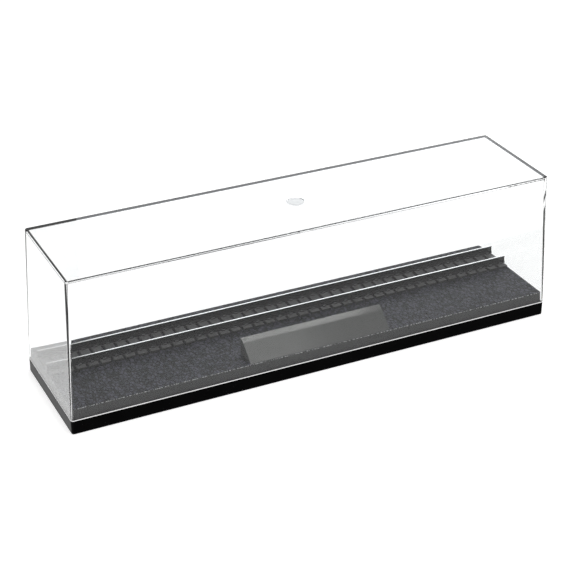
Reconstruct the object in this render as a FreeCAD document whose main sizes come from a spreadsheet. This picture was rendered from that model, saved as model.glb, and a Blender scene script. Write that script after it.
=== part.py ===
import FreeCAD, Part
import os
import Sketcher

# Display case for a model locomotive: a black plinth, a grained deck with a
# length of track and a sloped nameplate, and a loose clear cover.
# Millimetres, +Z up, origin at the middle of the plinth's underside.

doc = FreeCAD.newDocument("display_case")
sheet = doc.addObject("Spreadsheet::Sheet", "dims")

# Driving sizes
SIZES = {
    "case_length": 350.0,
    "case_width": 85.5,
    "corner_radius": 1.8,
    "plinth_height": 9.6,
    "plinth_skin": 2.4,
    "plinth_edge_radius": 0.5,
    "cover_height": 96.6,
    "cover_draft": 2.0,
    "cover_foot_wall": 1.1,
    "cover_head_wall": 2.3,
    "cover_top_wall": 2.4,
    "cover_edge_radius": 1.0,
    "cover_foot_radius": 0.6,
    "cover_inner_radius": 0.8,
    "gate_mark_diameter": 12.4,
    "gate_mark_depth": 0.5,
    "cover_clearance": 0.45,
    "deck_height": 7.8,
    "deck_draft": 3.0,
    "deck_skin": 2.0,
    "deck_rim_wall": 2.2,
    "deck_corner_radius": 1.4,
    "deck_edge_radius": 0.5,
    "rib_wall": 1.8,
    "cell_columns": 11,
    "cell_rows": 3,
    "boss_diameter": 8.0,
    "screw_diameter": 2.9,
    "screw_length": 9.0,
    "screw_head_diameter": 5.4,
    "screw_head_height": 1.9,
    "screw_seat_height": 4.6,
    "screw_hole_clearance": 0.4,
    "screw_head_clearance": 0.6,
    "thread_clearance": 0.1,
    "thread_spare_depth": 0.4,
    "screw_cells_along": 3.5,
    "screw_cells_across": 0.5,
    "recess_width": 0.9,
    "recess_length": 3.2,
    "recess_depth": 1.0,
    "track_offset": 16.0,
    "rail_spacing": 17.4,
    "sleeper_pitch": 8.44,
    "sleeper_end_setback": 0.741,
    "sleeper_width": 6.4,
    "sleeper_length": 29.0,
    "sleeper_height": 1.6,
    "web_width": 3.0,
    "web_height": 0.9,
    "chair_width": 2.2,
    "chair_reach": 1.0,
    "chair_height": 0.8,
    "chair_clearance": 0.05,
    "rail_height": 5.2,
    "rail_foot_width": 2.6,
    "rail_foot_height": 0.4,
    "rail_foot_slope": 1.3,
    "rail_web_width": 0.8,
    "rail_head_width": 1.0,
    "rail_head_height": 0.9,
    "rail_head_slope": 0.3,
    "rail_end_setback": 0.3,
    "plate_length": 103.0,
    "plate_front_setback": 0.5,
    "plate_lip": 0.3,
    "plate_face_depth": 11.4,
    "plate_face_rise": 9.4,
    "plate_brow_depth": 4.0,
    "plate_brow_rise": 2.4,
    "plate_heel_depth": 0.8,
    "plate_round": 6.0,
}

# Sizes that follow from the driving sizes
FOLLOWING = {
    "cavity_length": "=case_length - 2 * cover_foot_wall",
    "cavity_width": "=case_width - 2 * cover_foot_wall",
    "cavity_height": "=cover_height - cover_top_wall",
    "cavity_draft": "=atan((cover_head_wall - cover_foot_wall) / cover_height + tan(cover_draft * 1deg))",
    "cavity_top_length": "=cavity_length - 2 * cavity_height * tan(cavity_draft)",
    "cavity_top_width": "=cavity_width - 2 * cavity_height * tan(cavity_draft)",
    "deck_length": "=cavity_length - 2 * cover_clearance",
    "deck_width": "=cavity_width - 2 * cover_clearance",
    "deck_top_length": "=deck_length - 2 * deck_height * tan(deck_draft * 1deg)",
    "deck_top_width": "=deck_width - 2 * deck_height * tan(deck_draft * 1deg)",
    "cell_pitch_x": "=(deck_length - 2 * deck_rim_wall + rib_wall) / cell_columns",
    "cell_pitch_y": "=(deck_width - 2 * deck_rim_wall + rib_wall) / cell_rows",
    "cell_length": "=cell_pitch_x - rib_wall",
    "cell_width": "=cell_pitch_y - rib_wall",
    "cell_span_x": "=cell_pitch_x * (cell_columns - 1)",
    "cell_span_y": "=cell_pitch_y * (cell_rows - 1)",
    "cell_first_x": "=-cell_span_x / 2",
    "cell_first_y": "=-cell_span_y / 2",
    "plinth_hollow": "=plinth_height - plinth_skin",
    "deck_hollow": "=deck_height - deck_skin",
    "screw_x": "=cell_pitch_x * screw_cells_along",
    "screw_y": "=cell_pitch_y * screw_cells_across",
    "screw_hole_diameter": "=screw_diameter + screw_hole_clearance",
    "screw_well_diameter": "=screw_head_diameter + screw_head_clearance",
    "thread_hole_diameter": "=screw_diameter + thread_clearance",
    "thread_hole_depth": "=screw_length - (plinth_height - screw_seat_height) + thread_spare_depth",
    "screw_radius": "=screw_diameter / 2",
    "screw_head_radius": "=screw_head_diameter / 2",
    "deck_top_level": "=plinth_height + deck_height",
    "rail_seat_level": "=deck_top_level + sleeper_height",
    "rail_half_spacing": "=rail_spacing / 2",
    "chair_offset": "=rail_foot_width / 2 + chair_clearance + chair_reach / 2",
    "chair_inner": "=rail_half_spacing - chair_offset",
    "chair_outer": "=rail_half_spacing + chair_offset",
    "rail_front_y": "=track_offset - rail_half_spacing",
    "rail_rear_y": "=track_offset + rail_half_spacing",
    "rail_length": "=deck_top_length - 2 * rail_end_setback",
    "rail_start": "=-rail_length / 2",
    "sleeper_span": "=rail_length - sleeper_width - 2 * sleeper_end_setback",
    "sleeper_count": "=round(sleeper_span / sleeper_pitch) + 1",
    "sleeper_first_x": "=-sleeper_span / 2",
    "web_length": "=sleeper_span",
    "rail_foot_half": "=rail_foot_width / 2",
    "rail_web_half": "=rail_web_width / 2",
    "rail_head_half": "=rail_head_width / 2",
    "rail_web_low": "=rail_foot_height + rail_foot_slope",
    "rail_head_low": "=rail_height - rail_head_height",
    "rail_web_high": "=rail_head_low - rail_head_slope",
    "plate_front": "=deck_top_width / 2 - plate_front_setback",
    "plate_knee": "=plate_front - plate_face_depth",
    "plate_knee_level": "=plate_lip + plate_face_rise",
    "plate_ridge": "=plate_knee - plate_brow_depth",
    "plate_ridge_level": "=plate_knee_level + plate_brow_rise",
    "plate_back": "=plate_ridge - plate_heel_depth",
    "plate_heel_level": "=plate_ridge_level - plate_heel_depth",
    "plate_start": "=-plate_length / 2",
}

for line, (name, value) in enumerate(list(SIZES.items()) + list(FOLLOWING.items()), 1):
    sheet.set(f"A{line}", name)
    sheet.set(f"B{line}", str(value))
    sheet.setAlias(f"B{line}", name)
doc.recompute()


def size(name):
    """The present value of a named size."""
    return float(sheet.get(name))


def expression(name, sign=1):
    """An expression that follows a named size."""
    return f"<<dims>>.{name}" if sign > 0 else f"-<<dims>>.{name}"


def new_body(label, level=None, across=None, along=None):
    """A body with its own label, placed by named sizes."""
    body = doc.addObject("PartDesign::Body", label)
    body.Label = label
    for axis, name in (("x", along), ("y", across), ("z", level)):
        if name:
            sign = -1 if name.startswith("-") else 1
            body.setExpression(f"Placement.Base.{axis}", expression(name.lstrip("-"), sign))
    return body


def new_sketch(body, name, role="XY_Plane", lift=None):
    """A sketch on one of the body's own planes, lifted off it by a named size."""
    sketch = body.newObject("Sketcher::SketchObject", f"{body.Label}_{name}")
    plane = next(f for f in body.Origin.OriginFeatures if f.Role == role)
    sketch.AttachmentSupport = (plane, [""])
    sketch.MapMode = "FlatFace"
    if lift:
        sketch.setExpression("AttachmentOffset.Base.z", expression(lift))
    return sketch


def bind(sketch, constraint, name, sign=1):
    """Adds a constraint whose value follows a named size."""
    index = sketch.addConstraint(constraint)
    sketch.setExpression(f"Constraints[{index}]", expression(name, sign))


def place_vertex(sketch, edge, across, upward):
    """Fixes the first vertex of an edge at signed named sizes, or on an axis."""
    for kind, axis, spot in (("DistanceX", -2, across), ("DistanceY", -1, upward)):
        if spot is None:
            sketch.addConstraint(Sketcher.Constraint("PointOnObject", edge, 1, axis))
        else:
            sign, name = spot
            value = sign * size(name)
            bind(sketch, Sketcher.Constraint(kind, -1, 1, edge, 1, value), name, sign)


def polygon(sketch, spots):
    """A closed outline whose every vertex follows signed named sizes."""
    def number(spot):
        return 0.0 if spot is None else spot[0] * size(spot[1])

    points = [FreeCAD.Vector(number(a), number(b), 0) for a, b in spots]
    count = len(points)
    edges = [
        sketch.addGeometry(Part.LineSegment(points[i], points[(i + 1) % count]), False)
        for i in range(count)
    ]
    for i in range(count):
        follow = edges[(i + 1) % count]
        sketch.addConstraint(Sketcher.Constraint("Coincident", edges[i], 2, follow, 1))
    for edge, (across, upward) in zip(edges, spots):
        place_vertex(sketch, edge, across, upward)


def rectangle(sketch, length, width, mid_x=None, mid_y=None):
    """A rectangle of named length and width about a signed named middle."""
    centre = [0.0 if m is None else m[0] * size(m[1]) for m in (mid_x, mid_y)]
    half = (size(length) / 2, size(width) / 2)
    corners = [(-1, -1), (1, -1), (1, 1), (-1, 1)]
    points = [
        FreeCAD.Vector(centre[0] + a * half[0], centre[1] + b * half[1], 0) for a, b in corners
    ]
    edges = [
        sketch.addGeometry(Part.LineSegment(points[i], points[(i + 1) % 4]), False) for i in range(4)
    ]
    for i in range(4):
        sketch.addConstraint(Sketcher.Constraint("Coincident", edges[i], 2, edges[(i + 1) % 4], 1))
        kind = "Horizontal" if i % 2 == 0 else "Vertical"
        sketch.addConstraint(Sketcher.Constraint(kind, edges[i]))
    bind(sketch, Sketcher.Constraint("DistanceX", edges[0], 1, edges[0], 2, 2 * half[0]), length)
    bind(sketch, Sketcher.Constraint("DistanceY", edges[1], 1, edges[1], 2, 2 * half[1]), width)
    middle = sketch.addGeometry(Part.Point(FreeCAD.Vector(centre[0], centre[1], 0)), True)
    sketch.addConstraint(
        Sketcher.Constraint("Symmetric", edges[0], 1, edges[2], 1, middle, 1)
    )
    place_vertex(sketch, middle, mid_x, mid_y)


def circle(sketch, diameter, mid_x=None, mid_y=None):
    """A circle of named diameter about a signed named middle."""
    centre = [0.0 if m is None else m[0] * size(m[1]) for m in (mid_x, mid_y)]
    middle = FreeCAD.Vector(centre[0], centre[1], 0)
    ring = Part.Circle(middle, FreeCAD.Vector(0, 0, 1), size(diameter) / 2)
    index = sketch.addGeometry(ring, False)
    bind(sketch, Sketcher.Constraint("Diameter", index, size(diameter)), diameter)
    for kind, axis, spot in (("DistanceX", -2, mid_x), ("DistanceY", -1, mid_y)):
        if spot is None:
            sketch.addConstraint(Sketcher.Constraint("PointOnObject", index, 3, axis))
        else:
            sign, name = spot
            bind(sketch, Sketcher.Constraint(kind, -1, 1, index, 3, sign * size(name)), name, sign)


def pad(body, sketch, length, name):
    """A pad of a sketch, along the sketch's normal."""
    feature = body.newObject("PartDesign::Pad", f"{body.Label}_{name}")
    feature.Profile = sketch
    feature.setExpression("Length", expression(length))
    doc.recompute()
    return feature


def pocket(body, sketch, depth, name, inward=True):
    """A pocket of a sketch; inward cuts along the sketch's normal."""
    before = body.Shape.Volume
    feature = body.newObject("PartDesign::Pocket", f"{body.Label}_{name}")
    feature.Profile = sketch
    feature.setExpression("Length", expression(depth))
    feature.Reversed = inward
    doc.recompute()
    if feature.Shape.isNull() or body.Shape.Volume >= before - 1e-6:
        raise RuntimeError(f"{feature.Name} cuts nothing")
    return feature


def upright(face):
    """True for a flat face that stands upright or nearly so."""
    return abs(face.normalAt(0.5, 0.5).z) < 0.2


def lean(body, base, angle, name, wanted, height=0.0):
    """Drafts the picked faces about the level face at a height, so that they lose stock."""
    faces = [f"Face{i}" for i, face in enumerate(base.Shape.Faces, 1) if wanted(face)]
    still = next(
        f"Face{i}"
        for i, face in enumerate(base.Shape.Faces, 1)
        if all(abs(vertex.Z - height) < 0.01 for vertex in face.Vertexes)
    )
    before = base.Shape.Volume
    feature = body.newObject("PartDesign::Draft", f"{body.Label}_{name}")
    feature.Base = (base, faces)
    feature.NeutralPlane = (base, [still])
    feature.setExpression("Angle", expression(angle))
    doc.recompute()
    if feature.Shape.Volume >= before:
        feature.Reversed = True
        doc.recompute()
    if feature.Shape.Volume >= before:
        raise RuntimeError(f"{feature.Name} leans the wrong way")
    return feature


def soften(body, base, radius, name, wanted):
    """Rounds every edge of a feature that the test picks."""
    names = [f"Edge{i}" for i, edge in enumerate(base.Shape.Edges, 1) if wanted(edge)]
    if not names:
        raise RuntimeError(f"{body.Label} {name} finds no edge")
    feature = body.newObject("PartDesign::Fillet", f"{body.Label}_{name}")
    feature.Base = (base, names)
    feature.setExpression("Radius", expression(radius))
    doc.recompute()
    return feature


def steep(edge):
    """True for an edge that stands upright or nearly so."""
    if len(edge.Vertexes) < 2:
        return False
    run = edge.Vertexes[1].Point - edge.Vertexes[0].Point
    return abs(run.z) > 0.8 * run.Length


def top_of(shape):
    """The height of a shape's highest vertex."""
    return max(vertex.Z for vertex in shape.Vertexes)


def level_at(edge, height):
    """True for an edge that lies wholly at a height."""
    return all(abs(vertex.Z - height) < 0.01 for vertex in edge.Vertexes)


def cells(body, depth):
    """The ribbed underside: a grid of pockets cut upward from the bottom face."""
    sketch = new_sketch(body, "cell_outline")
    rectangle(sketch, "cell_length", "cell_width", (1, "cell_first_x"), (1, "cell_first_y"))
    first = pocket(body, sketch, depth, "cell")
    grid = body.newObject("PartDesign::MultiTransform", f"{body.Label}_cells")
    grid.Originals = [first]
    steps = []
    for axis, span, count in (
        ("H_Axis", "cell_span_x", "cell_columns"),
        ("V_Axis", "cell_span_y", "cell_rows"),
    ):
        step = body.newObject("PartDesign::LinearPattern", f"{body.Label}_cells_{axis}")
        step.Direction = (sketch, [axis])
        step.setExpression("Length", expression(span))
        step.setExpression("Occurrences", expression(count))
        steps.append(step)
    grid.Transformations = steps
    body.Tip = grid
    doc.recompute()


def screw_circles(sketch, diameter):
    """Four circles at the screw positions."""
    for side in (-1, 1):
        for end in (-1, 1):
            circle(sketch, diameter, (side, "screw_x"), (end, "screw_y"))


# Plinth
plinth = new_body("plinth")
sketch = new_sketch(plinth, "outline")
rectangle(sketch, "case_length", "case_width")
block = pad(plinth, sketch, "plinth_height", "block")
block = soften(plinth, block, "corner_radius", "corners", steep)
block = soften(
    plinth, block, "plinth_edge_radius", "foot_edge", lambda e: level_at(e, 0.0)
)
cells(plinth, "plinth_hollow")
sketch = new_sketch(plinth, "boss_outline")
screw_circles(sketch, "boss_diameter")
pad(plinth, sketch, "plinth_hollow", "bosses")
sketch = new_sketch(plinth, "screw_well_outline")
screw_circles(sketch, "screw_well_diameter")
pocket(plinth, sketch, "screw_seat_height", "screw_wells")
sketch = new_sketch(plinth, "screw_hole_outline")
screw_circles(sketch, "screw_hole_diameter")
pocket(plinth, sketch, "plinth_height", "screw_holes")

# Deck
deck = new_body("deck", level="plinth_height")
sketch = new_sketch(deck, "outline")
rectangle(sketch, "deck_length", "deck_width")
block = pad(deck, sketch, "deck_height", "block")
block = lean(deck, block, "deck_draft", "sides", upright)
block = soften(deck, block, "deck_corner_radius", "corners", steep)
block = soften(
    deck, block, "deck_edge_radius", "top_edge", lambda e: level_at(e, size("deck_height"))
)
cells(deck, "deck_hollow")
sketch = new_sketch(deck, "boss_outline")
screw_circles(sketch, "boss_diameter")
pad(deck, sketch, "deck_hollow", "bosses")
sketch = new_sketch(deck, "thread_hole_outline")
screw_circles(sketch, "thread_hole_diameter")
pocket(deck, sketch, "thread_hole_depth", "thread_holes")

# Blunt deck screws, driven upward through the plinth into the deck's bosses
for word_y, sign_y in (("front", "-"), ("rear", "")):
    for word_x, sign_x in (("left", "-"), ("right", "")):
        screw = new_body(
            f"deck_screw_{word_y}_{word_x}",
            level="screw_seat_height",
            across=f"{sign_y}screw_y",
            along=f"{sign_x}screw_x",
        )
        sketch = new_sketch(screw, "half_outline", "XZ_Plane")
        polygon(
            sketch,
            [
                (None, (-1, "screw_head_height")),
                ((1, "screw_head_radius"), (-1, "screw_head_height")),
                ((1, "screw_head_radius"), None),
                ((1, "screw_radius"), None),
                ((1, "screw_radius"), (1, "screw_length")),
                (None, (1, "screw_length")),
            ],
        )
        turned = screw.newObject("PartDesign::Revolution", f"{screw.Label}_turned")
        turned.Profile = sketch
        turned.ReferenceAxis = (sketch, ["V_Axis"])
        turned.Angle = 360
        doc.recompute()
        for index, (long_way, short_way) in enumerate(
            (("recess_length", "recess_width"), ("recess_width", "recess_length"))
        ):
            sketch = new_sketch(screw, f"recess_outline_{index}")
            sketch.setExpression("AttachmentOffset.Base.z", expression("screw_head_height", -1))
            rectangle(sketch, long_way, short_way)
            pocket(screw, sketch, "recess_depth", f"recess_{index}")

# Cover: the walls are thin at the foot and thicken upward, so the inside has
# more draft than the outside
cover = new_body("cover", level="plinth_height")
sketch = new_sketch(cover, "outline")
rectangle(sketch, "case_length", "case_width")
shell = pad(cover, sketch, "cover_height", "outside")
shell = lean(cover, shell, "cover_draft", "sides", upright)
shell = soften(cover, shell, "corner_radius", "corners", steep)
shell = soften(
    cover, shell, "cover_edge_radius", "top_edge", lambda e: level_at(e, size("cover_height"))
)
shell = soften(
    cover, shell, "cover_foot_radius", "foot_edge", lambda e: level_at(e, 0.0)
)
sketch = new_sketch(cover, "cavity_outline")
rectangle(sketch, "cavity_top_length", "cavity_top_width")
shell = pocket(cover, sketch, "cavity_height", "cavity")


def lines_cavity(face):
    """True for an upright wall of the cavity."""
    return upright(face) and abs(top_of(face) - size("cavity_height")) < 0.01


shell = lean(
    cover, shell, "cavity_draft", "cavity_sides", lines_cavity, size("cavity_height")
)
shell = soften(
    cover,
    shell,
    "cover_inner_radius",
    "cavity_corners",
    lambda e: steep(e) and abs(top_of(e) - size("cavity_height")) < 0.01,
)
shell = soften(
    cover,
    shell,
    "cover_inner_radius",
    "cavity_edge",
    lambda e: level_at(e, size("cavity_height")),
)
sketch = new_sketch(cover, "gate_mark_outline", lift="cover_height")
circle(sketch, "gate_mark_diameter")
pocket(cover, sketch, "gate_mark_depth", "gate_mark", inward=False)

# Sleepers, joined by a web under each rail, with a chair on both sides of it
strip = new_body("sleeper_strip", level="deck_top_level", across="track_offset")
sketch = new_sketch(strip, "sleeper_outline")
rectangle(sketch, "sleeper_width", "sleeper_length", (1, "sleeper_first_x"))
sleeper = pad(strip, sketch, "sleeper_height", "sleeper")
chair_top = new_sketch(strip, "chair_outline", lift="sleeper_height")
for side in (-1, 1):
    for reach in ("chair_inner", "chair_outer"):
        rectangle(chair_top, "chair_width", "chair_reach", (1, "sleeper_first_x"), (side, reach))
chairs = pad(strip, chair_top, "chair_height", "chairs")
web_outline = new_sketch(strip, "web_outline")
for side in (-1, 1):
    rectangle(web_outline, "web_length", "web_width", None, (side, "rail_half_spacing"))
pad(strip, web_outline, "web_height", "webs")
row = strip.newObject("PartDesign::LinearPattern", "sleeper_row")
row.Originals = [sleeper, chairs]
row.Direction = (sketch, ["H_Axis"])
row.setExpression("Length", expression("sleeper_span"))
row.setExpression("Occurrences", expression("sleeper_count"))
strip.Tip = row
doc.recompute()

# Rails
for label, across in (("rail_front", "rail_front_y"), ("rail_rear", "rail_rear_y")):
    rail = new_body(label, level="rail_seat_level", across=across)
    sketch = new_sketch(rail, "section", "YZ_Plane", lift="rail_start")
    right_side = [
        ("rail_foot_half", None),
        ("rail_foot_half", "rail_foot_height"),
        ("rail_web_half", "rail_web_low"),
        ("rail_web_half", "rail_web_high"),
        ("rail_head_half", "rail_head_low"),
        ("rail_head_half", "rail_height"),
    ]
    outline = [((1, a), None if b is None else (1, b)) for a, b in right_side]
    outline += [((-1, a), None if b is None else (1, b)) for a, b in reversed(right_side)]
    polygon(sketch, outline)
    pad(rail, sketch, "rail_length", "bar")

# Nameplate: a smooth wedge that leans back from the deck's front edge
plate = new_body("nameplate", level="deck_top_level")
sketch = new_sketch(plate, "section", "YZ_Plane", lift="plate_start")
polygon(
    sketch,
    [
        ((-1, "plate_front"), None),
        ((-1, "plate_front"), (1, "plate_lip")),
        ((-1, "plate_knee"), (1, "plate_knee_level")),
        ((-1, "plate_ridge"), (1, "plate_ridge_level")),
        ((-1, "plate_back"), (1, "plate_heel_level")),
        ((-1, "plate_back"), None),
    ],
)
wedge = pad(plate, sketch, "plate_length", "wedge")


def along_knee(edge):
    """True for the edge where the face turns into the brow."""
    box = edge.BoundBox
    return (
        abs(box.ZMax - size("plate_knee_level")) < 1e-4
        and abs(box.ZMin - size("plate_knee_level")) < 1e-4
    )


wedge = soften(plate, wedge, "plate_round", "brow", along_knee)

# Every body is sound before it is written
doc.recompute()
for item in doc.Objects:
    if {"Invalid", "Error"} & set(item.State):
        raise RuntimeError(f"{item.Name} is in state {item.State}")
os.makedirs("parts", exist_ok=True)
for item in doc.Objects:
    if item.TypeId != "PartDesign::Body":
        continue
    if item.Shape.isNull() or not item.Shape.isValid() or len(item.Shape.Solids) != 1:
        raise RuntimeError(f"{item.Label} is not one valid solid")
    item.Shape.exportStep(f"parts/{item.Label}.step")
    print(item.Label, round(item.Shape.Volume, 1), item.Shape.BoundBox)
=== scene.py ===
import math

import bmesh
import bpy
from mathutils import Matrix, Vector


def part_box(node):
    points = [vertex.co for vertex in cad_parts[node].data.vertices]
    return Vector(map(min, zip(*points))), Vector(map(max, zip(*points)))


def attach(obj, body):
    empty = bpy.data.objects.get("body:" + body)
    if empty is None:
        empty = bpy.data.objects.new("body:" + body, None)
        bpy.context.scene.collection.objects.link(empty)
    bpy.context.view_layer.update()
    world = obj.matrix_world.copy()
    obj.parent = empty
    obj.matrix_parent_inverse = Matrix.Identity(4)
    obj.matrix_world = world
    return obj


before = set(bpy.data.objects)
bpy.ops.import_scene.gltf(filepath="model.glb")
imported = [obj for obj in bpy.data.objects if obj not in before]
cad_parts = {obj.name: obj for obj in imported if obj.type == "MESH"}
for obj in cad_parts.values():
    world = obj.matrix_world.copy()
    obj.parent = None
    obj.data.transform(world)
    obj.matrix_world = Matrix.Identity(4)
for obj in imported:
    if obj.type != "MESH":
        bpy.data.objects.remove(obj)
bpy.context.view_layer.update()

scene = bpy.context.scene
MM = 0.001


def tree(name):
    """A new node material and its Principled shader."""
    material = bpy.data.materials.new(name)
    material.use_nodes = True
    nodes = material.node_tree.nodes
    shader = next(n for n in nodes if n.type == "BSDF_PRINCIPLED")
    return material, shader


def add(material, kind, **settings):
    """Adds a node and sets its inputs by name."""
    node = material.node_tree.nodes.new(kind)
    for key, value in settings.items():
        node.inputs[key].default_value = value
    return node


def link(material, start, end):
    """Joins two sockets of a material's or the world's nodes."""
    material.node_tree.links.new(start, end)


def object_coords(material, scale):
    """Object coordinates scaled to a working size."""
    coords = material.node_tree.nodes.new("ShaderNodeTexCoord")
    mapping = add(material, "ShaderNodeMapping", Scale=scale)
    link(material, coords.outputs["Object"], mapping.inputs["Vector"])
    return mapping.outputs["Vector"]


def ramp(material, source, low, high, start=0.3, end=0.7):
    """A colour ramp from low to high, driven by a texture."""
    node = material.node_tree.nodes.new("ShaderNodeValToRGB")
    node.color_ramp.elements[0].position = start
    node.color_ramp.elements[1].position = end
    node.color_ramp.elements[0].color = (*low, 1)
    node.color_ramp.elements[1].color = (*high, 1)
    link(material, source, node.inputs["Fac"])
    return node.outputs["Color"]


def spread(material, source, low, high):
    """Maps a texture's 0..1 to a low..high value."""
    node = add(material, "ShaderNodeMapRange")
    node.inputs["To Min"].default_value = low
    node.inputs["To Max"].default_value = high
    link(material, source, node.inputs["Value"])
    return node.outputs["Result"]


def bump(material, shader, source, strength, distance):
    """Relief from a texture, on the shader's normal."""
    node = add(material, "ShaderNodeBump", Strength=strength, Distance=distance)
    link(material, source, node.inputs["Height"])
    link(material, node.outputs["Normal"], shader.inputs["Normal"])
    return node


def plastic(name, low, high, rough, specular, scale=60.0):
    """Moulded plastic with faint flow mottling and uneven gloss."""
    material, shader = tree(name)
    vector = object_coords(material, (1, 1, 1))
    noise = add(material, "ShaderNodeTexNoise", Scale=scale, Detail=6.0, Roughness=0.6)
    link(material, vector, noise.inputs["Vector"])
    link(material, ramp(material, noise.outputs["Fac"], low, high), shader.inputs["Base Color"])
    link(material, spread(material, noise.outputs["Fac"], *rough), shader.inputs["Roughness"])
    shader.inputs["Specular IOR Level"].default_value = specular
    return material


def facing_up(material, low, high):
    """0 on upright faces and 1 on level ones, stepping between two steepnesses."""
    geometry = material.node_tree.nodes.new("ShaderNodeNewGeometry")
    split = material.node_tree.nodes.new("ShaderNodeSeparateXYZ")
    link(material, geometry.outputs["True Normal"], split.inputs["Vector"])
    step = add(material, "ShaderNodeMapRange")
    step.inputs["From Min"].default_value = low
    step.inputs["From Max"].default_value = high
    link(material, split.outputs["Z"], step.inputs["Value"])
    return step.outputs["Result"]


def mix(material, factor, first, second):
    """A colour mix of two sources."""
    blend = material.node_tree.nodes.new("ShaderNodeMix")
    blend.data_type = "RGBA"
    link(material, factor, blend.inputs["Factor"])
    link(material, first, blend.inputs["A"])
    link(material, second, blend.inputs["B"])
    return blend.outputs["Result"]


def combine(material, operation, first, second):
    """Two sources put together by a maths operation."""
    node = material.node_tree.nodes.new("ShaderNodeMath")
    node.operation = operation
    link(material, first, node.inputs[0])
    link(material, second, node.inputs[1])
    return node.outputs[0]


GRAIN_STRETCH = (1, 0.6, 1)
GRAIN_CELLS = 450.0
GRAIN_NOISE = 430.0
EDGE_HIGHLIGHT_NOISE = 700.0
GRAIN_RELIEF = 0.8
GRAIN_DEPTH = 0.4 * MM


def leather_grain(name):
    """Black moulding with a leather grain on top, and a painted highlight along its rounded edges."""
    material, shader = tree(name)
    vector = object_coords(material, GRAIN_STRETCH)
    cells = add(material, "ShaderNodeTexVoronoi", Scale=GRAIN_CELLS, Randomness=1.0)
    cells.feature = "DISTANCE_TO_EDGE"
    noise = add(material, "ShaderNodeTexNoise", Scale=GRAIN_NOISE, Detail=4.0, Roughness=0.6)
    highlight_noise = add(material, "ShaderNodeTexNoise", Scale=EDGE_HIGHLIGHT_NOISE, Detail=2.0)
    for texture in (cells, noise, highlight_noise):
        link(material, vector, texture.inputs["Vector"])
    height = combine(material, "ADD", cells.outputs["Distance"], noise.outputs["Fac"])
    level = facing_up(material, 0.9, 0.98)
    grain = ramp(material, height, (0.004, 0.004, 0.005), (0.056, 0.057, 0.074), 0.52, 0.82)
    side = ramp(material, noise.outputs["Fac"], (0.042, 0.042, 0.043), (0.048, 0.048, 0.049))
    # Painted highlight: the rounded edges between top and sides are lightened in the base colour, as if
    # they caught the light.
    painted_edge_highlight = ramp(material, highlight_noise.outputs["Fac"], (0.02, 0.02, 0.02), (0.45, 0.45, 0.46), 0.45, 0.6)
    highlight_edge_mask = combine(
        material, "SUBTRACT", facing_up(material, 0.12, 0.3), facing_up(material, 0.8, 0.95)
    )
    flat = mix(material, level, side, grain)
    link(material, mix(material, highlight_edge_mask, flat, painted_edge_highlight), shader.inputs["Base Color"])
    link(material, spread(material, noise.outputs["Fac"], 0.34, 0.5), shader.inputs["Roughness"])
    shader.inputs["Specular IOR Level"].default_value = 0.15
    relief = bump(material, shader, height, GRAIN_RELIEF, GRAIN_DEPTH)
    link(material, spread(material, level, 0.0, GRAIN_RELIEF), relief.inputs["Strength"])
    return material


def sleeper_finish(name):
    """Dark sleeper moulding with a faint lengthwise grain, its tops painted paler as light from above
    and its sides painted darker as shade between the sleepers.
    """
    material, shader = tree(name)
    vector = object_coords(material, (900, 60, 900))
    noise = add(material, "ShaderNodeTexNoise", Scale=1.0, Detail=4.0, Roughness=0.6)
    link(material, vector, noise.inputs["Vector"])
    # Painted light and shade: the same moulding gets a pale colour on its tops and a dark one on its
    # sides.
    side = ramp(material, noise.outputs["Fac"], (0.020, 0.020, 0.020), (0.028, 0.028, 0.028))
    painted_lit_top = ramp(material, noise.outputs["Fac"], (0.058, 0.058, 0.060), (0.104, 0.104, 0.106))
    link(material, mix(material, facing_up(material, 0.6, 0.9), side, painted_lit_top), shader.inputs["Base Color"])
    link(material, spread(material, noise.outputs["Fac"], 0.3, 0.45), shader.inputs["Roughness"])
    shader.inputs["Specular IOR Level"].default_value = 0.35
    return material


CLEAR_IOR = 1.49
LIGHT_PASSED = (0.97, 0.97, 0.97, 1)


def clear(name):
    """Clear moulded plastic with a faint ripple, which lets the lamps' light straight through."""
    material, shader = tree(name)
    vector = object_coords(material, (1, 1, 1))
    noise = add(material, "ShaderNodeTexNoise", Scale=14.0, Detail=2.0)
    link(material, vector, noise.inputs["Vector"])
    link(
        material,
        ramp(material, noise.outputs["Fac"], (0.975, 0.985, 0.985), (0.99, 0.995, 0.995)),
        shader.inputs["Base Color"],
    )
    link(material, spread(material, noise.outputs["Fac"], 0.0, 0.015), shader.inputs["Roughness"])
    shader.inputs["Transmission Weight"].default_value = 1.0
    shader.inputs["IOR"].default_value = CLEAR_IOR
    path = material.node_tree.nodes.new("ShaderNodeLightPath")
    lit = combine(
        material, "MAXIMUM", path.outputs["Is Shadow Ray"], path.outputs["Is Diffuse Ray"]
    )
    pass_light = add(material, "ShaderNodeBsdfTransparent", Color=LIGHT_PASSED)
    blend = material.node_tree.nodes.new("ShaderNodeMixShader")
    output = next(n for n in material.node_tree.nodes if n.type == "OUTPUT_MATERIAL")
    link(material, lit, blend.inputs[0])
    link(material, shader.outputs["BSDF"], blend.inputs[1])
    link(material, pass_light.outputs["BSDF"], blend.inputs[2])
    link(material, blend.outputs["Shader"], output.inputs["Surface"])
    return material


def frosted(name):
    """Clear plastic with a ground face, which scatters what shows through it."""
    material, shader = tree(name)
    noise = add(material, "ShaderNodeTexNoise", Scale=900.0, Detail=3.0)
    link(material, object_coords(material, (1, 1, 1)), noise.inputs["Vector"])
    link(
        material,
        ramp(material, noise.outputs["Fac"], (0.96, 0.965, 0.97), (0.985, 0.99, 0.995)),
        shader.inputs["Base Color"],
    )
    link(material, spread(material, noise.outputs["Fac"], 0.24, 0.38), shader.inputs["Roughness"])
    shader.inputs["Transmission Weight"].default_value = 1.0
    shader.inputs["IOR"].default_value = CLEAR_IOR
    return material


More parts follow.
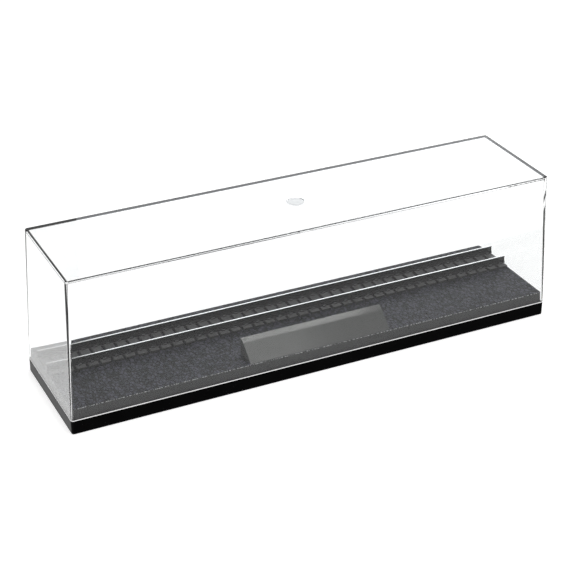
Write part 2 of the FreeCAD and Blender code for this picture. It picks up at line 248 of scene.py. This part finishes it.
def metal(name, low, high, rough):
    """Drawn metal with fine lengthwise streaks."""
    material, shader = tree(name)
    vector = object_coords(material, (20, 900, 900))
    noise = add(material, "ShaderNodeTexNoise", Scale=1.0, Detail=4.0)
    link(material, vector, noise.inputs["Vector"])
    link(material, ramp(material, noise.outputs["Fac"], low, high), shader.inputs["Base Color"])
    link(material, spread(material, noise.outputs["Fac"], *rough), shader.inputs["Roughness"])
    shader.inputs["Metallic"].default_value = 1.0
    return material


def rail_finish(name):
    """Black rail with a bare bright head, streaked along its length."""
    material, shader = tree(name)
    vector = object_coords(material, (20, 900, 900))
    noise = add(material, "ShaderNodeTexNoise", Scale=1.0, Detail=4.0)
    link(material, vector, noise.inputs["Vector"])
    flank = ramp(material, noise.outputs["Fac"], (0.006, 0.006, 0.007), (0.012, 0.012, 0.013))
    head = ramp(material, noise.outputs["Fac"], (0.80, 0.80, 0.79), (0.93, 0.93, 0.92))
    level = facing_up(material, 0.9, 0.95)
    link(material, mix(material, level, flank, head), shader.inputs["Base Color"])
    link(material, level, shader.inputs["Metallic"])
    link(material, spread(material, noise.outputs["Fac"], 0.1, 0.2), shader.inputs["Roughness"])
    shader.inputs["Specular IOR Level"].default_value = 0.2
    return material


# What each node is made of: all that isn't named here is a screw
MATERIALS = {
    "plinth": plastic(
        "plinth_black", (0.0006, 0.0006, 0.0007), (0.0014, 0.0014, 0.0015), (0.18, 0.26), 0.03
    ),
    "deck": leather_grain("deck_grain"),
    "nameplate": plastic(
        "plate_smooth", (0.076, 0.077, 0.076), (0.092, 0.093, 0.092), (0.10, 0.16), 0.7, 9.0
    ),
    "sleeper_strip": sleeper_finish("sleeper_black"),
    "rail_front": rail_finish("rail_black"),
    "cover": clear("cover_clear"),
}
MATERIALS["rail_rear"] = MATERIALS["rail_front"]
screw_finish = metal("screw_zinc", (0.5, 0.5, 0.5), (0.65, 0.65, 0.64), (0.25, 0.4))
for node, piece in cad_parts.items():
    finish = MATERIALS.get(node, screw_finish)
    piece.data.materials.clear()
    piece.data.materials.append(finish)

CORNER_STEPS = 6


def painted_foot_band(name, half_x, half_y, radius, low, high, wall):
    """A band round the cover's foot, as wide as the cover and as thin as its rounded edge, which
    carries a painted highlight.
    """
    mesh = bmesh.new()
    loops = []
    for inset, level in ((0, low), (0, high), (wall, high), (wall, low)):
        path = []
        for sign_x, sign_y, start in ((1, 1, 0), (-1, 1, 90), (-1, -1, 180), (1, -1, 270)):
            for step in range(CORNER_STEPS + 1):
                angle = math.radians(start + step * 90 / CORNER_STEPS)
                reach = radius - inset
                path.append(
                    mesh.verts.new(
                        (
                            sign_x * (half_x - radius) + reach * math.cos(angle),
                            sign_y * (half_y - radius) + reach * math.sin(angle),
                            level,
                        )
                    )
                )
        loops.append(path)
    for this, after in zip(loops, loops[1:] + loops[:1]):
        for i in range(len(this)):
            j = (i + 1) % len(this)
            mesh.faces.new((this[i], this[j], after[j], after[i]))
    bmesh.ops.recalc_face_normals(mesh, faces=mesh.faces)
    data = bpy.data.meshes.new(name)
    mesh.to_mesh(data)
    mesh.free()
    piece = bpy.data.objects.new(name, data)
    scene.collection.objects.link(piece)
    return piece


# The cover's foot catches the light that runs down inside its walls; a pale opaque band there is a
# painted highlight for it
FOOT_CORNER = 1.8 * MM
FOOT_START = 0.02 * MM
FOOT_END = 0.6 * MM
FOOT_WALL = 0.3 * MM
low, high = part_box("cover")
highlight_ring = painted_foot_band(
    "cover_foot_highlight", high.x, high.y, FOOT_CORNER, low.z + FOOT_START, low.z + FOOT_END, FOOT_WALL
)
# Painted highlight: the band's pale, opaque colour stands in for that light, where the cover itself is
# clear.
highlight_ring.data.materials.append(
    plastic("foot_painted_highlight", (0.80, 0.80, 0.80), (0.92, 0.92, 0.92), (0.4, 0.6), 0.4, 120.0)
)
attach(highlight_ring, "lid")

# The gate mark's frosted floor, in the shallow recess of the cover's top
GATE_RADIUS = 6.2 * MM
GATE_DEPTH = 0.5 * MM
GATE_PLAY = 0.1 * MM
FACE_DEPTH = 0.1 * MM
mesh = bmesh.new()
bmesh.ops.create_cone(
    mesh,
    cap_ends=True,
    segments=48,
    radius1=GATE_RADIUS - GATE_PLAY,
    radius2=GATE_RADIUS - GATE_PLAY,
    depth=FACE_DEPTH,
    matrix=Matrix.Translation((0, 0, high.z - GATE_DEPTH + GATE_PLAY)),
)
data = bpy.data.meshes.new("gate_mark_face")
mesh.to_mesh(data)
mesh.free()
mark = bpy.data.objects.new("gate_mark_face", data)
scene.collection.objects.link(mark)
mark.data.materials.append(frosted("gate_frosted"))
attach(mark, "lid")

# Stage: a white floor that glows a little, so that its shadows stay pale
FLOOR_SIZE = 12
FLOOR_PLACE = (0, 2.0, -0.2 * MM)
FLOOR_GLOW = 0.56
bpy.ops.mesh.primitive_plane_add(size=FLOOR_SIZE, location=FLOOR_PLACE)
floor = bpy.context.object
floor.name = "floor"
material, shader = tree("floor_white")
noise = add(material, "ShaderNodeTexNoise", Scale=3.0)
link(
    material,
    ramp(material, noise.outputs["Fac"], (0.73, 0.73, 0.73), (0.74, 0.74, 0.74)),
    shader.inputs["Base Color"],
)
shader.inputs["Roughness"].default_value = 0.9
shader.inputs["Specular IOR Level"].default_value = 0.0
shader.inputs["Emission Color"].default_value = (1, 1, 1, 1)
shader.inputs["Emission Strength"].default_value = FLOOR_GLOW
floor.data.materials.append(material)

# Cards on the floor that only mirror reflections pick up: a bright one past the left end
# and a dim one before the front. Each has two corners and a strength.
CARD_LEVEL = 0.3 * MM
CARDS = {
    "card_left": ((-0.60, -0.12), (-0.1755, 0.60), 1.15),
    "card_front": ((-0.1755, -0.60), (0.60, -0.0435), 0.50),
}
for name, (near, far, strength) in CARDS.items():
    bpy.ops.mesh.primitive_plane_add(size=1)
    card = bpy.context.object
    card.name = name
    card.location = ((near[0] + far[0]) / 2, (near[1] + far[1]) / 2, CARD_LEVEL)
    card.scale = (far[0] - near[0], far[1] - near[1], 1)
    material = bpy.data.materials.new(name)
    material.use_nodes = True
    material.node_tree.nodes.clear()
    glow = add(material, "ShaderNodeEmission", Strength=strength)
    nothing = add(material, "ShaderNodeBsdfTransparent")
    path = add(material, "ShaderNodeLightPath")
    blend = add(material, "ShaderNodeMixShader")
    link(material, path.outputs["Glossy Depth"], blend.inputs[0])
    link(material, nothing.outputs["BSDF"], blend.inputs[1])
    link(material, glow.outputs["Emission"], blend.inputs[2])
    output = add(material, "ShaderNodeOutputMaterial")
    link(material, blend.outputs["Shader"], output.inputs["Surface"])
    card.data.materials.append(material)
    card.visible_camera = False
    card.visible_diffuse = False
    card.visible_shadow = False

# Sky: white to the camera, dimmer as light on the object, and in reflections a dome that
# is white at the horizon and dark overhead
SKY_SEEN = 1.0
SKY_LIGHT = 0.67
DOME_FOOT = 0.35
DOME_CROWN = 0.60
DOME_DARK = 0.08
world = bpy.data.worlds.new("studio")
scene.world = world
world.use_nodes = True
background = next(n for n in world.node_tree.nodes if n.type == "BACKGROUND")
background.inputs["Color"].default_value = (1.0, 1.0, 1.0, 1.0)
path = add(world, "ShaderNodeLightPath")
coords = add(world, "ShaderNodeTexCoord")
split = add(world, "ShaderNodeSeparateXYZ")
link(world, coords.outputs["Generated"], split.inputs["Vector"])
dome = add(world, "ShaderNodeMapRange")
dome.inputs["From Min"].default_value = DOME_FOOT
dome.inputs["From Max"].default_value = DOME_CROWN
dome.inputs["To Min"].default_value = SKY_SEEN
dome.inputs["To Max"].default_value = DOME_DARK
link(world, split.outputs["Z"], dome.inputs["Value"])
plain = spread(world, path.outputs["Is Camera Ray"], SKY_LIGHT, SKY_SEEN)
sky = add(world, "ShaderNodeMapRange")
link(world, path.outputs["Is Glossy Ray"], sky.inputs["Value"])
link(world, plain, sky.inputs["To Min"])
link(world, dome.outputs["Result"], sky.inputs["To Max"])
link(world, sky.outputs["Result"], background.inputs["Strength"])

# Light that runs far inside the cover's walls is lost, which draws its edges as dark lines
CLEAR_BOUNCES = 32
MIRROR_BOUNCES = 17
scene.cycles.max_bounces = CLEAR_BOUNCES
scene.cycles.glossy_bounces = MIRROR_BOUNCES
scene.cycles.transmission_bounces = CLEAR_BOUNCES


def softbox(name, place, target, width, height, radiance, colour):
    """A soft rectangular lamp that looks at a point."""
    data = bpy.data.lights.new(name, "AREA")
    data.shape = "RECTANGLE"
    data.size = width
    data.size_y = height
    data.energy = radiance * math.pi * width * height
    data.color = colour
    lamp = bpy.data.objects.new(name, data)
    scene.collection.objects.link(lamp)
    lamp.location = place
    lamp.rotation_euler = (Vector(target) - Vector(place)).to_track_quat("-Z", "Y").to_euler()


WARM = (1.0, 1.0, 0.98)
COOL = (0.92, 0.95, 1.0)
softbox("overhead", (0.135, -0.06, 0.62), (0.135, -0.06, 0), 0.37, 0.12, 3.6, WARM)
softbox("front", (-0.075, -0.31, 0.62), (-0.075, -0.31, 0), 0.69, 0.38, 1.5, WARM)
softbox("rear", (0.55, 0.94, 0.60), (0.55, 0, 0.60), 0.80, 0.4, 1.2, COOL)

# Camera, at the photograph's place
CAMERA_PLACE = Vector((-413.9, -831.0, 557.4)) * MM
CAMERA_NUDGE = 0.6 * MM
CAMERA_SENSOR = 36.0
CAMERA_LENS = 98.52
CAMERA_NEAR = 10 * MM
camera_data = bpy.data.cameras.new("camera")
camera = bpy.data.objects.new("camera", camera_data)
scene.collection.objects.link(camera)
right = Vector((0.89819, -0.43958, 0.00521))
up = Vector((0.20970, 0.43883, 0.87376))
forward = Vector((0.38637, 0.78371, -0.48633))
place = CAMERA_PLACE + (up - right) * CAMERA_NUDGE
turn = Matrix((right, up, -forward)).transposed().to_4x4()
camera.matrix_world = Matrix.Translation(place) @ turn
camera_data.sensor_width = CAMERA_SENSOR
camera_data.lens = CAMERA_LENS
camera_data.clip_start = CAMERA_NEAR
scene.camera = camera
scene.view_settings.view_transform = "Standard"
